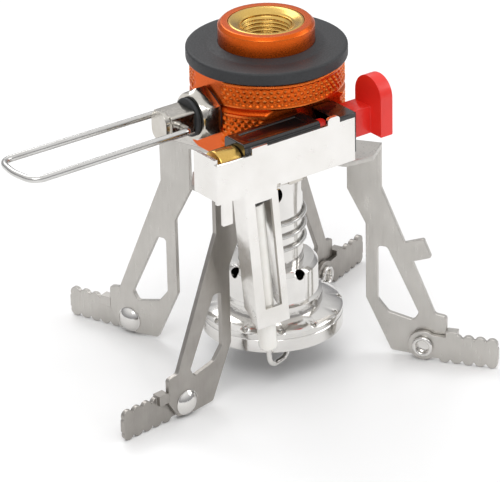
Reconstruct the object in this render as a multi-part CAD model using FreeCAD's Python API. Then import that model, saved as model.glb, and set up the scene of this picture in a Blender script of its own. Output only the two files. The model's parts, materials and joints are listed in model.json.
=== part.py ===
"""Canister stove, standing burner down on its unfolded pot supports.

Millimetres, +Z out of the canister thread. The origin is the centre of the thread's mouth.
+X runs along the igniter to its button, the valve points along -X, the igniter is on the -Y side.
"""
import FreeCAD
import Part

import math
import os

from FreeCAD import Vector

# ---------------------------------------------------------------- fits
touch_gap = 0.02        # pieces of one body that lie on each other
running_gap = 0.05      # radial, shaft in hole
side_gap = 0.10         # between plates that slide on each other
loose_gap = 0.30        # between pieces that only stand near each other

# ---------------------------------------------------------------- gas body
thread_major_r = 5.555      # 7/16 inch thread, outside radius
thread_minor_r = 5.10       # wall radius of the tapped hole
thread_length = 9.0
mouth_depth = 1.0           # thread mouth below the nose rim
insert_r = 8.25
nose_r = 10.45
nose_height = 5.2
nose_chamfer = 0.7
ring_r = 17.5
ring_thickness = 2.8
ring_collar_r = 12.6        # inside this the ring rises to meet the nose
ring_collar_rise = 0.7
body_r = 16.8
body_height = 18.5          # from the ring's underside to the foot
upper_knurl_height = 5.6
groove_height = 1.8
groove_depth = 1.2
lower_knurl_height = 5.6
body_edge = 0.5
valve_flat_x = 15.75        # flat that the packing nut stands on
igniter_flat_y = 13.1       # flat that the igniter lies against
igniter_flat_height = 12.0
chamber_r = 5.6             # room for the socket seal and the pin
chamber_height = 2.6
gas_bore_r = 1.2
pin_r = 1.0
pin_head_r = 3.3
pin_clear = 0.15             # pin's tip below the thread's foot
filter_thickness = 0.5

# ---------------------------------------------------------------- neck and stack
stem_r = 6.0
stem_depth = 6.0            # how far the stem goes into the body
spigot_wall = 0.55
spigot_length = 2.2
spacer_thickness = 2.2
spacer_r = 8.6
support_thickness = 1.2
hub_ring_r = 10.6
wave_thickness = 0.6
hub_nut_r = 9.2
hub_nut_height = 2.6
jet_r = 2.4
jet_bore_r = 0.3
jet_length = 4.0

# ---------------------------------------------------------------- valve
valve_drop = 8.8            # valve axis below the ring's underside
nut_seal_r = 5.0
nut_seal_thickness = 0.6
nut_flats = 10.5
nut_length = 4.2
nut_spigot_r = 4.3
nut_spigot_length = 3.6
nut_socket_length = 5.2     # leaves room for the shaft seal
shaft_r = 2.2
needle_r = 1.1
seal_wire_r = 0.65
packing_r = 4.3
packing_thickness = 1.0
block_length = 6.0
block_width = 6.6
block_height = 5.4
end_plate_width = 5.4
end_plate_height = 6.8
end_plate_thickness = 1.1
handle_wire_r = 0.75
handle_pivot_inset = 2.6    # from the block's outer end
handle_length = 39.6
handle_half_width = 6.0     # wire centres, at the block
handle_end_half_width = 6.3
handle_corner_r = 2.9
handle_elbow_r = 1.1
handle_pin_depth = 1.5      # how far each wire end goes into the block
handle_bow = 1.0

# ---------------------------------------------------------------- igniter
sheet = 0.8
tray_left = -28.6
tray_right = 7.0
tray_height = 9.2
tray_depth = 8.2
tooth_x = 1.4
tooth_width = 3.2
tooth_height = 1.6
low_part = 8.4              # left stretch of the front plate, lower than the rest
low_part_drop = 1.1
raised_step = 4.0           # short raised stretch beside it
raised_step_height = 0.4
ferrule_rise = 0.75         # ferrule and bore axis above the housing's middle
foot_left = -9.0
foot_ring_r = 9.6
hang_tab_shift = 0.6
hang_tab_width = 2.4
hang_tab_height = 5.2
housing_left = -21.4
housing_right = -1.5
housing_rise = 1.1          # housing top above the front plate
frame_left = 1.9
frame_right = 7.4
ferrule_length = 5.6
ferrule_r = 3.4
bore_r = 2.9
neck_width = 5.4
neck_height = 6.2
neck_end = 12.3
neck_inset = 1.3            # button neck behind the front plate's face
thumb_thickness = 3.4
thumb_width = 9.0
thumb_height = 13.0
button_travel = 4.0
crystal_length = 3.5
hammer_length = 3.0
spring_wire_r = 0.25
spring_turns = 4
spring_pressed = 2.8        # length left for the spring with the button in

# ---------------------------------------------------------------- electrode
guard_left = 6.1            # from the tray's left end
guard_width = 8.6
guard_height = 35.0
guard_skew = 5.0            # sideways, over its height
guard_lean = 3.0            # inwards, over its height
guard_wall = 4.4
window_width = 4.4
window_shift = 0.4
window_top = 3.4
window_bottom = 30.6
ceramic_r = 2.1
holder_width = 6.8
holder_depth = 4.8
holder_top = 1.4            # below the body's foot
holder_gap = 0.45
ceramic_start = 4.6
ceramic_end = 42.5
electrode_r = 0.6
hook_reach = 6.9
hook_straight = 1.8

# ---------------------------------------------------------------- burner
tube_wall = 0.6
tube_r = stem_r + spigot_wall + running_gap + tube_wall
air_hole_r = 2.4
air_hole_drop = 38.3        # all burner levels are measured down from the nose rim
air_hole_turn = -123.0
coil_top = 44.4
coil_foot = 55.5
coil_pitch = 3.1
coil_wire_r = 0.45
cup_top = 56.2
cup_r = 10.45
cup_wall = 0.6
cup_foot = 63.5
cup_step_r = 11.3
cup_hole_r = 1.2
flange_top = 66.4
flange_r = 15.8
rim_height = 4.5
rim_wall = 0.7
flange_holes = 12
flange_hole_r = 0.65
face_recess = 0.9
face_thickness = 0.8
port_count = 24

# ---------------------------------------------------------------- pot supports
arm_offset = 8.0            # arm's outer face from the stove's axis
arm_thickness = 1.1
arm_spread = 165.0          # between the two arms of one bracket
bracket_a_turn = 28.5       # middle of that angle, in plan
bracket_b_turn = 104.3
arm_in = 15.6               # arm outline, out from the axis
arm_out = 23.4
leg_in = 19.8
foot_in = 25.6
pivot_u = 33.2
ear_u = 38.3
diagonal_end_u = 35.6
shoulder_in = 41.0          # arm outline, down from the nose rim
shoulder_out = 40.0
knee = 49.0
knee_foot = 67.2
pivot_drop = 77.0
ear_top = 69.4
ear_foot = 75.6
foot_drop = 79.6
leg_width = 2.7
slot_top = 54.2
slot_foot = 71.6
tab_width = 26.0            # hub plate to the arm's outer edge
tab_edge = 4.0              # far side of the hub arm from the axis
stud_tab_drop = 53.0
stud_tab_length = 4.4
stud_tab_reach = 4.2
rivet_r = 1.6
dome_r = 2.95
dome_height = 1.5
flare_r = 2.4
flare_hollow_r = 1.4
flare_height = 0.8
blade_thickness = 1.1
blade_reach = 17.2
blade_half_height = 2.75
blade_end_r = 1.4
lobe_r = 1.35
lobe_pitch = 2.7
lobe_count = 5
blade_root_r = 3.5
stop_tab_width = 2.6
stop_tab_height = 1.6

# ---------------------------------------------------------------- levels worked out
rim_z = mouth_depth
ring_top_z = rim_z - nose_height
ring_foot_z = ring_top_z - ring_thickness
body_foot_z = ring_foot_z - body_height
tray_foot_z = body_foot_z - sheet
spacer_foot_z = tray_foot_z - spacer_thickness
bracket_a_z = spacer_foot_z - touch_gap
bracket_b_z = bracket_a_z - support_thickness - side_gap
wave_top_z = bracket_b_z - support_thickness - side_gap
nut_top_z = wave_top_z - wave_thickness
nut_foot_z = nut_top_z - hub_nut_height
stem_foot_z = nut_foot_z - spigot_length
valve_z = ring_foot_z - valve_drop
front_y = -(igniter_flat_y + loose_gap + tray_depth)
housing_back_y = -(igniter_flat_y + loose_gap)
housing_front_y = front_y + sheet + touch_gap
tray_top_z = body_foot_z + tray_height
housing_top_z = tray_top_z + housing_rise
igniter_y = (housing_back_y + housing_front_y) / 2
igniter_z = (body_foot_z + housing_top_z) / 2 + ferrule_rise
rim_foot_z = rim_z - flange_top - rim_height - 1.2
face_z = rim_foot_z + face_recess


# ---------------------------------------------------------------- helpers
def out(name, *solids):
    """Write one piece, or a group of like solids, to its own file."""
    shape = solids[0] if len(solids) == 1 else Part.makeCompound(list(solids))
    for solid in shape.Solids:
        if not solid.isValid() or solid.Volume <= 0:
            raise ValueError(name + " is not a valid solid")
    shape.exportStep(os.path.join("parts", name + ".step"))
    print(name, len(shape.Solids), round(shape.Volume, 2))


def one(shape):
    """The single cleaned solid of a boolean result."""
    shape = shape.removeSplitter()
    if len(shape.Solids) != 1:
        raise ValueError("expected one solid, found %d" % len(shape.Solids))
    return shape.Solids[0]


def rod(r, start, end):
    """Cylinder from one point to another."""
    along = end - start
    return Part.makeCylinder(r, along.Length, start, along)


def post(r, top, foot, x=0.0, y=0.0):
    """Vertical cylinder between two levels."""
    return Part.makeCylinder(r, top - foot, Vector(x, y, foot))


def tube(outer, inner, top, foot):
    return post(outer, top, foot).cut(post(inner, top + 1, foot - 1))


def box(x0, x1, y0, y1, z0, z1):
    return Part.makeBox(x1 - x0, y1 - y0, z1 - z0, Vector(x0, y0, z0))


def turned(points):
    """Solid of revolution about Z from (radius, level) points."""
    line = Part.makePolygon([Vector(r, 0, z) for r, z in points] + [Vector(points[0][0], 0, points[0][1])])
    return Part.Face(line).revolve(Vector(0, 0, 0), Vector(0, 0, 1), 360)


def plate(points, normal_start, normal_end):
    """Prism between two parallel planes: points are corners on the first, the second is offset by a vector."""
    line = Part.makePolygon(points + [points[0]])
    return Part.Face(line).extrude(normal_end - normal_start)


def around(shape, angle, centre=Vector(0, 0, 0), axis=Vector(0, 0, 1)):
    copy = shape.copy()
    copy.rotate(centre, axis, angle)
    return copy


def swept(path_edges, r):
    """Round bar along joined edges."""
    wire = Part.Wire(path_edges)
    start = wire.OrderedVertexes[0].Point
    first = wire.OrderedEdges[0]
    tangent = first.tangentAt(first.FirstParameter)
    if (first.valueAt(first.FirstParameter) - start).Length > 1e-6:
        tangent = first.tangentAt(first.LastParameter) * -1
    circle = Part.Wire([Part.makeCircle(r, start, tangent)])
    return Part.Solid(wire.makePipeShell([circle], True, True))


def bent_path(points, radii):
    """Straight runs joined by tangent arcs, one radius at each inner point."""
    edges = []
    start = points[0]
    for i, radius in enumerate(radii):
        corner = points[i + 1]
        to_prev = (points[i] - corner).normalize()
        to_next = (points[i + 2] - corner).normalize()
        half = to_prev.getAngle(to_next) / 2
        setback = radius / math.tan(half)
        enter = corner + to_prev * setback
        leave = corner + to_next * setback
        middle = (to_prev + to_next).normalize()
        crest = corner + middle * (radius / math.sin(half) - radius)
        edges.append(Part.LineSegment(start, enter).toShape())
        edges.append(Part.Arc(enter, crest, leave).toShape())
        start = leave
    edges.append(Part.LineSegment(start, points[-1]).toShape())
    return edges


def level(drop):
    """Height of something that is given as a drop below the nose rim."""
    return rim_z - drop


# ---------------------------------------------------------------- gas body
def make_valve_body():
    groove_top = ring_foot_z - upper_knurl_height
    groove_foot = groove_top - groove_height
    body = turned([
        (0, rim_z), (nose_r - nose_chamfer, rim_z), (nose_r, rim_z - nose_chamfer), (nose_r, ring_foot_z),
        (body_r - body_edge, ring_foot_z), (body_r, ring_foot_z - body_edge), (body_r, groove_top),
        (body_r - groove_depth, groove_top - groove_height / 2), (body_r, groove_foot),
        (body_r, body_foot_z + body_edge), (body_r - body_edge, body_foot_z), (0, body_foot_z)])
    body = body.cut(post(insert_r, rim_z + 1, rim_z - thread_length - mouth_depth))
    seal_z = rim_z - thread_length - mouth_depth
    body = body.cut(post(chamber_r, seal_z + 1, seal_z - chamber_height))
    body = body.cut(post(stem_r, body_foot_z + stem_depth, body_foot_z - 1))
    body = body.cut(box(-body_r - 1, -valve_flat_x, -body_r, body_r, body_foot_z - 1, ring_foot_z - touch_gap))
    flat_top = body_foot_z + igniter_flat_height
    body = body.cut(box(-body_r, body_r, -body_r - 1, -igniter_flat_y, body_foot_z - 1, flat_top))
    valve_bore = rod(shaft_r + running_gap, Vector(-body_r, 0, valve_z), Vector(-4.0, 0, valve_z))
    nut_thread = rod(nut_spigot_r, Vector(-body_r, 0, valve_z), Vector(-valve_flat_x + nut_socket_length, 0, valve_z))
    seat = rod(needle_r + running_gap, Vector(-4.5, 0, valve_z), Vector(0, 0, valve_z))
    inlet = post(gas_bore_r, seal_z, valve_z, -4.6, 0)
    outlet = post(gas_bore_r, valve_z + 0.5, body_foot_z + stem_depth - 1)
    return one(body.cut(valve_bore.fuse([nut_thread, seat, inlet, outlet])))


def make_thread_insert():
    foot = rim_z - thread_length - mouth_depth
    dish_r = thread_major_r + 0.45
    insert = turned([
        (thread_minor_r, 0), (dish_r, rim_z - 0.65), (insert_r - 0.5, rim_z), (insert_r, rim_z - 0.2),
        (insert_r, foot), (thread_minor_r, foot)])
    return one(insert)


def make_rubber_ring():
    inner = nose_r + running_gap
    soft = 0.35
    return turned([
        (inner, ring_top_z + ring_collar_rise), (ring_collar_r, ring_top_z), (ring_r - soft, ring_top_z), (ring_r, ring_top_z - soft),
        (ring_r, ring_foot_z + soft), (ring_r - soft, ring_foot_z), (inner, ring_foot_z)])


def make_socket_seal():
    seal_z = rim_z - thread_length - mouth_depth
    wire = 0.9
    return Part.makeTorus(chamber_r - wire - running_gap, wire, Vector(0, 0, seal_z - wire - touch_gap), Vector(0, 0, 1))


def make_inlet_filter():
    foot = rim_z - thread_length - mouth_depth - chamber_height
    disc = post(chamber_r - running_gap, foot + filter_thickness, foot)
    return disc


def make_opening_pin():
    foot = rim_z - thread_length - mouth_depth - chamber_height + filter_thickness
    head = post(pin_head_r, foot + 0.7, foot)
    tip = rim_z - thread_length - mouth_depth - pin_clear
    return one(head.fuse(post(pin_r, tip, foot)))


def make_neck_stem():
    top = body_foot_z + stem_depth
    stem = post(stem_r, top, stem_foot_z)
    stem = stem.cut(post(gas_bore_r, top + 1, stem_foot_z + jet_length - 1))
    stem = stem.cut(post(jet_r, stem_foot_z + jet_length - 1, stem_foot_z - 1))
    return one(stem)


def make_jet():
    top = stem_foot_z + jet_length - 1
    tip = top - jet_length
    body = post(jet_r, top, tip + 0.8).fuse(turned([(0, tip + 0.8), (1.5, tip + 0.8), (1.0, tip), (0, tip)]))
    return one(body.cut(post(jet_bore_r, top + 1, tip - 1)).cut(post(1.2, top + 1, tip + 1.4)))


# ---------------------------------------------------------------- valve
def valve_point(x, y=0.0, z=0.0):
    return Vector(x, y, valve_z + z)


nut_inner_x = -valve_flat_x - nut_seal_thickness
nut_outer_x = nut_inner_x - nut_length
packing_x = nut_outer_x - touch_gap - packing_thickness
block_start_x = packing_x - side_gap
block_end_x = block_start_x - block_length
handle_pivot_x = block_end_x + handle_pivot_inset


def make_nut_seal():
    ring = rod(nut_seal_r, valve_point(-valve_flat_x), valve_point(nut_inner_x))
    return ring.cut(rod(nut_spigot_r, valve_point(0), valve_point(nut_outer_x)))


def make_packing_nut():
    corner_r = nut_flats / 2 / math.cos(math.pi / 6)
    corners = []
    for k in range(6):
        a = math.radians(60 * k + 30)
        corners.append(valve_point(nut_inner_x, corner_r * math.cos(a), corner_r * math.sin(a)))
    nut = plate(corners, valve_point(nut_inner_x), valve_point(nut_outer_x))
    bevel = Part.makeCone(corner_r + 0.15, corner_r - 1.0, 2.0, valve_point(nut_outer_x + 2.0), Vector(-1, 0, 0))
    keep = rod(corner_r + 1, valve_point(nut_inner_x), valve_point(nut_outer_x + 2.0)).fuse(bevel)
    nut = nut.common(keep)
    spigot_x = -valve_flat_x + nut_spigot_length
    nut = nut.fuse(rod(nut_spigot_r - touch_gap, valve_point(spigot_x), valve_point(nut_inner_x)))
    return one(nut.cut(rod(shaft_r + running_gap, valve_point(0), valve_point(nut_outer_x - 1))))


def make_packing_ring():
    ring = rod(packing_r, valve_point(packing_x), valve_point(packing_x + packing_thickness))
    ring = ring.makeFillet(0.4, [e for e in ring.Edges if e.Curve.TypeId == "Part::GeomCircle"])
    return ring.cut(rod(shaft_r + running_gap, valve_point(0), valve_point(packing_x - 1)))


def make_spindle_seal():
    centre_x = -valve_flat_x + nut_spigot_length + seal_wire_r + running_gap
    return Part.makeTorus(shaft_r + running_gap + seal_wire_r, seal_wire_r, valve_point(centre_x), Vector(1, 0, 0))


def make_spindle():
    shaft = rod(shaft_r, valve_point(-5.2), valve_point(block_start_x))
    needle = Part.makeCone(needle_r, 0.25, 3.0, valve_point(-4.4), Vector(1, 0, 0))
    return one(shaft.fuse(rod(needle_r, valve_point(-5.4), valve_point(-4.4))).fuse(needle))


def along_valve(edge):
    return abs(edge.tangentAt(edge.FirstParameter).x) > 0.9


def make_handle_block():
    half = block_width / 2
    tall = block_height / 2
    body = box(block_end_x, block_start_x, -half, half, valve_z - tall, valve_z + tall)
    body = body.makeFillet(0.6, [e for e in body.Edges if along_valve(e)])
    end_half = end_plate_width / 2
    end_tall = end_plate_height / 2
    end = box(block_end_x - end_plate_thickness, block_end_x, -end_half, end_half,
              valve_z - end_tall, valve_z + end_tall)
    end = end.makeFillet(end_half - 0.4, [e for e in end.Edges if along_valve(e)])
    reach = half + 1
    hole = rod(handle_wire_r + running_gap, valve_point(handle_pivot_x, -reach), valve_point(handle_pivot_x, reach))
    return one(body.fuse(end).cut(hole))


def make_wire_handle():
    pin_in = block_width / 2 - handle_pin_depth
    side = handle_half_width
    end_side = handle_end_half_width
    end_x = handle_pivot_x - handle_length
    points = [
        valve_point(handle_pivot_x, -pin_in), valve_point(handle_pivot_x, -side),
        valve_point(end_x, -end_side), valve_point(end_x - handle_bow, 0), valve_point(end_x, end_side),
        valve_point(handle_pivot_x, side), valve_point(handle_pivot_x, pin_in)]
    radii = [handle_elbow_r, handle_corner_r, 12.0, handle_corner_r, handle_elbow_r]
    return swept(bent_path(points, radii), handle_wire_r)


# ---------------------------------------------------------------- igniter
def guard_point(x, back, down):
    """A place on the electrode guard: x along the tray, back from its front face, down along its height."""
    share = down / guard_height
    return Vector(x + guard_skew * share, front_y + back + guard_lean * share, body_foot_z - down)


guard_x0 = tray_left + guard_left
guard_x1 = guard_x0 + guard_width
guard_mid_x = (guard_x0 + guard_x1) / 2


def guard_slab(x0, x1, back0, back1, down0, down1, tail=0.0):
    """Straight-sided block in the guard's own slanted directions; tail lengthens its front edge."""
    corners = [guard_point(x0, back0, down0), guard_point(x1, back0, down0),
               guard_point(x1, back0, down1 + tail), guard_point(x0, back0, down1 + tail)]
    rear = [guard_point(x0, back1, down0), guard_point(x1, back1, down0),
            guard_point(x1, back1, down1), guard_point(x0, back1, down1)]
    faces = [Part.Face(Part.makePolygon(corners + corners[:1])), Part.Face(Part.makePolygon(rear + rear[:1]))]
    for i in range(4):
        j = (i + 1) % 4
        faces.append(Part.Face(Part.makePolygon([corners[i], corners[j], rear[j], rear[i], corners[i]])))
    solid = Part.Solid(Part.Shell(faces))
    if solid.Volume < 0:
        solid.reverse()
    return solid


def make_igniter_bracket():
    floor_z = body_foot_z - sheet
    front = box(tray_left, tray_right, front_y, front_y + sheet, floor_z, tray_top_z)
    tooth = box(tooth_x - tooth_width / 2, tooth_x + tooth_width / 2, front_y, front_y + sheet,
                tray_top_z - 1, tray_top_z + tooth_height)
    tooth = tooth.makeFillet(0.9, [e for e in tooth.Edges
                                   if abs(e.tangentAt(e.FirstParameter).y) > 0.9 and e.CenterOfMass.z > tray_top_z])
    low_end = tray_left + low_part
    notch = box(tray_left - sheet - 1, low_end, front_y - 1, front_y + sheet + 0.01, tray_top_z - low_part_drop, tray_top_z + 1)
    step = box(low_end, low_end + raised_step, front_y, front_y + sheet, tray_top_z - 1, tray_top_z + raised_step_height)
    end_tab = box(tray_left - sheet, tray_left, front_y, housing_back_y, floor_z + 0.6, tray_top_z)
    corner = box(tray_left - sheet, tray_left, front_y, front_y + sheet, floor_z, floor_z + 4.0)
    hang = box(tray_left + hang_tab_shift, tray_left + hang_tab_shift + hang_tab_width, front_y, front_y + sheet,
               floor_z - hang_tab_height, floor_z + 0.5)
    floor = box(foot_left, tray_right, front_y, 0, floor_z, body_foot_z)
    gusset = post(foot_ring_r, body_foot_z, floor_z)
    foot = floor.common(box(foot_left, tray_right, front_y, 0, floor_z, body_foot_z)).fuse(gusset)
    bore = post(stem_r + running_gap, body_foot_z + 1, floor_z - 1)
    face = guard_slab(guard_x0, guard_x1, 0, sheet, 0, guard_height)
    window_mid = guard_mid_x + window_shift
    window = guard_slab(window_mid - window_width / 2, window_mid + window_width / 2, -1, sheet + 1,
                        window_top, window_bottom)
    wall_a = guard_slab(guard_x0, guard_x0 + sheet, 0, guard_wall, sheet, guard_height - 4.0, 4.0)
    wall_b = guard_slab(guard_x1 - sheet, guard_x1, 0, guard_wall, sheet, guard_height - 4.0, 4.0)
    relief = box(guard_x0 - 0.9, guard_x0, front_y - 1, front_y + sheet + 1, floor_z - 1, floor_z + 0.5)
    relief_b = relief.translated(Vector(guard_width + 0.9, 0, 0))
    bracket = front.fuse([tooth, step, end_tab, corner, hang, foot, face, wall_a, wall_b])
    return one(bracket.cut(bore.fuse([window, notch, relief, relief_b])))


def make_igniter_housing():
    shell = box(housing_left, housing_right, housing_front_y, housing_back_y, body_foot_z + touch_gap, housing_top_z)
    long_edges = [e for e in shell.Edges if abs(e.tangentAt(e.FirstParameter).x) > 0.9 and e.CenterOfMass.z > igniter_z]
    shell = shell.makeFillet(0.9, long_edges)
    recess = box(housing_left + 2.5, housing_right - 2.5, housing_front_y + 1.6, housing_back_y - 1.6,
                 housing_top_z - 0.35, housing_top_z + 1)
    bore = rod(bore_r, Vector(housing_left + 0.6, igniter_y, igniter_z), Vector(housing_right + 1, igniter_y, igniter_z))
    return one(shell.cut(recess).cut(bore))


def make_end_frame():
    frame = box(frame_left, frame_right, housing_front_y, housing_back_y, body_foot_z + touch_gap, housing_top_z)
    cheek = box(tray_right + touch_gap, frame_right, front_y, housing_front_y, body_foot_z + 1.0, housing_top_z)
    brow = box(frame_left + 1.2, frame_right, front_y, housing_front_y, tray_top_z + touch_gap, housing_top_z)
    frame = frame.fuse([cheek, brow])
    gate = box(frame_left - 1, frame_right + 1, button_y0 - side_gap, button_y1 + side_gap,
               neck_foot_z - side_gap, neck_top_z + side_gap)
    plunger_hole = rod(bore_r, Vector(frame_left - 1, igniter_y, igniter_z), Vector(frame_right + 1, igniter_y, igniter_z))
    return one(frame.cut(gate).cut(plunger_hole))


def make_ferrule():
    start = housing_left - touch_gap
    body = rod(ferrule_r, Vector(start, igniter_y, igniter_z), Vector(start - ferrule_length, igniter_y, igniter_z))
    rounded = body.makeFillet(0.4, [e for e in body.Edges if e.Curve.TypeId == "Part::GeomCircle"])
    return rounded


button_y0 = front_y + neck_inset
button_y1 = button_y0 + neck_width
neck_top_z = housing_top_z - 0.5
neck_foot_z = neck_top_z - neck_height
crystal_x = housing_left + 0.6
hammer_x = crystal_x + crystal_length + 0.1
spring_x0 = hammer_x + hammer_length + 0.1
plunger_end = spring_x0 + spring_pressed + button_travel


def make_piezo_crystal():
    return rod(bore_r - running_gap, Vector(crystal_x + touch_gap, igniter_y, igniter_z),
               Vector(crystal_x + crystal_length, igniter_y, igniter_z))


def make_hammer():
    return rod(bore_r - running_gap, Vector(hammer_x, igniter_y, igniter_z),
               Vector(hammer_x + hammer_length, igniter_y, igniter_z))


def make_push_button():
    neck_start = frame_left + 2.2
    neck = box(neck_start, neck_end, button_y0, button_y1, neck_foot_z, neck_top_z)
    thumb_y0 = button_y1 - thumb_width
    arch_r = thumb_width / 2
    thumb = box(neck_end, neck_end + thumb_thickness, thumb_y0, button_y1,
                neck_foot_z, neck_foot_z + thumb_height - arch_r)
    arch = rod(arch_r, Vector(neck_end, thumb_y0 + arch_r, neck_foot_z + thumb_height - arch_r),
               Vector(neck_end + thumb_thickness, thumb_y0 + arch_r, neck_foot_z + thumb_height - arch_r))
    thumb = one(thumb.fuse(arch))
    rounded = [e for e in thumb.Edges if abs(e.CenterOfMass.x - neck_end - thumb_thickness) < 0.01]
    thumb = thumb.makeFillet(0.5, rounded)
    plunger = rod(bore_r - running_gap, Vector(plunger_end, igniter_y, igniter_z), Vector(neck_start + 1, igniter_y, igniter_z))
    return one(thumb.fuse([neck, plunger]))


def ring_stack(ring_radius, wire_radius, count, first, last):
    """Closed turns of round wire, evenly spaced between two centres, standing for a helix of the same size."""
    turns = []
    step = (last - first) * (1.0 / (count - 1))
    for k in range(count):
        turns.append(Part.makeTorus(ring_radius, wire_radius, first + step * k, last - first))
    return turns


def make_return_spring():
    start = spring_x0 + spring_wire_r + running_gap
    end = plunger_end - spring_wire_r - running_gap
    return ring_stack(bore_r - spring_wire_r - 0.25, spring_wire_r, spring_turns,
                      Vector(start, igniter_y, igniter_z), Vector(end, igniter_y, igniter_z))


def electrode_point(down, back=sheet + ceramic_r + 0.15):
    return guard_point(guard_mid_x, back, down)


def make_ceramic_tube():
    tube_body = rod(ceramic_r, electrode_point(ceramic_start), electrode_point(ceramic_end))
    ends = [e for e in tube_body.Edges if e.Curve.TypeId == "Part::GeomCircle" and e.CenterOfMass.z < level(50)]
    tube_body = tube_body.makeFillet(1.1, ends)
    wire_hole = rod(electrode_r, electrode_point(0), electrode_point(ceramic_end + 1))
    return one(tube_body.cut(wire_hole))


def make_electrode_wire():
    tip = electrode_point(ceramic_end)
    inward = Vector(-tip.x, -tip.y, 0).normalize()
    side = Vector(inward.y, -inward.x, 0)
    heading = (inward + side * 0.62).normalize()
    top = electrode_point((holder_top + ceramic_start) / 2)
    turn_r = hook_reach / 2
    bend = electrode_point(ceramic_end + hook_straight + turn_r)
    far = bend + heading * hook_reach
    rise = far + Vector(0, 0, 2.6)
    near_r = turn_r * 0.92
    path = bent_path([top, bend, far, rise], [near_r, 0.62 * turn_r])
    return swept(path, electrode_r)


def make_ceramic_holder():
    back = sheet + touch_gap
    block = guard_slab(guard_mid_x - holder_width / 2, guard_mid_x + holder_width / 2,
                       back, back + holder_depth, holder_top, ceramic_start - holder_gap)
    wire_hole = rod(electrode_r, electrode_point(0), electrode_point(ceramic_start + 1))
    return one(block.cut(wire_hole))


def make_ignition_lead():
    lead_r = 0.6
    start = guard_point(guard_mid_x, sheet + 0.15 + holder_depth, (holder_top + ceramic_start) / 2)
    under = start + Vector(5.2, 1.0, 0)
    under.z = body_foot_z - loose_gap
    points = [start, start + Vector(0.5, 2.3, -0.3), start + Vector(5.0, 2.5, -0.8), under]
    return swept(bent_path(points, [1.0, 1.0]), lead_r)


# ---------------------------------------------------------------- burner column
def make_spacer():
    return tube(spacer_r, stem_r + running_gap, tray_foot_z, spacer_foot_z)


def make_wave_washer():
    return tube(spacer_r - 0.4, stem_r + running_gap, wave_top_z, nut_top_z)


def make_hub_nut():
    nut = tube(hub_nut_r, stem_r, nut_top_z, nut_foot_z)
    nut = nut.fuse(tube(stem_r + spigot_wall, stem_r, nut_foot_z + 0.5, stem_foot_z + 0.3))
    for k in range(6):
        slot = box(hub_nut_r - 0.7, hub_nut_r + 1, -1.0, 1.0, nut_foot_z - 1, nut_top_z + 1)
        nut = nut.cut(around(slot, 60 * k + 15))
    return one(nut)


def make_mixing_tube():
    top = nut_foot_z
    foot = level(cup_top + 3.0)
    body = tube(tube_r, tube_r - tube_wall, top, foot)
    for k in range(4):
        hole = rod(air_hole_r, Vector(0, 0, level(air_hole_drop)), Vector(tube_r + 2, 0, level(air_hole_drop)))
        body = body.cut(around(hole, air_hole_turn + 90 * k))
    return one(body)


def make_tube_coil():
    count = int((coil_foot - coil_top) / coil_pitch) + 1
    foot = coil_top + (count - 1) * coil_pitch
    return ring_stack(tube_r + touch_gap + coil_wire_r, coil_wire_r, count,
                      Vector(0, 0, level(coil_top)), Vector(0, 0, level(foot)))


def make_burner_cup():
    wall = cup_wall
    inner = tube_r + running_gap
    cup = turned([
        (inner, level(cup_top)), (cup_r - 0.9, level(cup_top)), (cup_r, level(cup_top + 0.9)),
        (cup_r, level(cup_foot)), (cup_step_r, level(cup_foot + 0.5)), (cup_step_r, level(flange_top)),
        (cup_step_r - wall, level(flange_top)), (cup_step_r - wall, level(cup_foot + 0.5 + wall)),
        (cup_r - wall, level(cup_foot + wall)), (cup_r - wall, level(cup_top + 0.9 + wall)),
        (cup_r - 0.9 - wall, level(cup_top + wall)), (inner, level(cup_top + wall))])
    for k in range(4):
        hole = Part.makeCylinder(cup_hole_r, 6, Vector(cup_r - 3.0, 0, level(cup_top + 3.2)), Vector(1, 0, 0.9))
        cup = cup.cut(around(hole, 90 * k + 2))
    return one(cup)


def make_burner_flange():
    edge = level(flange_top)
    flange = turned([
        (cup_step_r - cup_wall, edge), (cup_step_r + 0.6, edge), (flange_r - 0.6, edge - 0.9), (flange_r, edge - 1.5),
        (flange_r, edge - 2.6), (flange_r - 0.18, edge - 2.75), (flange_r, edge - 2.9), (flange_r, rim_foot_z),
        (flange_r - rim_wall, rim_foot_z), (flange_r - rim_wall, edge - 1.8), (cup_step_r + 0.6, edge - 0.9),
        (cup_step_r - cup_wall, edge - 0.9)])
    for k in range(flange_holes):
        notch = post(flange_hole_r, edge + 1, edge - 1.6, flange_r - 0.75, 0)
        flange = flange.cut(around(notch, 30 * k + 0.5))
    return one(flange)


def make_burner_gauze():
    return tube(flange_r - rim_wall - running_gap, 3.0, face_z + face_thickness + 0.5, face_z + face_thickness + 0.1)


def make_burner_face():
    disc = post(flange_r - rim_wall - running_gap, face_z + face_thickness, face_z)
    cutters = []
    for k in range(port_count):
        slot = box(8.2, 13.0, -0.35, 0.35, face_z - 1, face_z + face_thickness + 1)
        cutters.append(around(slot, k * 360.0 / port_count))
    for k in range(12):
        cutters.append(around(post(0.7, face_z + face_thickness + 1, face_z - 1, 5.4, 0), 30 * k))
    disc = disc.cut(Part.makeCompound(cutters))
    button = turned([(0, face_z), (3.2, face_z), (2.6, face_z - 0.7), (0, face_z - 0.7)])
    return one(disc.fuse(button))


# ---------------------------------------------------------------- pot supports
def arm_frame(azimuth):
    """Directions of one arm in plan: outwards, and to the left of outwards."""
    a = math.radians(azimuth)
    return Vector(math.cos(a), math.sin(a), 0), Vector(-math.sin(a), math.cos(a), 0)


def place(azimuth, u, v, z):
    outward, left = arm_frame(azimuth)
    return outward * u + left * v + Vector(0, 0, z)


def on_arm(azimuth, outline, v0, v1):
    """Prism whose outline is (out, drop) points, between two offsets from the stove's axis."""
    points = [place(azimuth, u, v0, level(drop)) for u, drop in outline]
    return plate(points, place(azimuth, 0, v0, 0), place(azimuth, 0, v1, 0))


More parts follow.
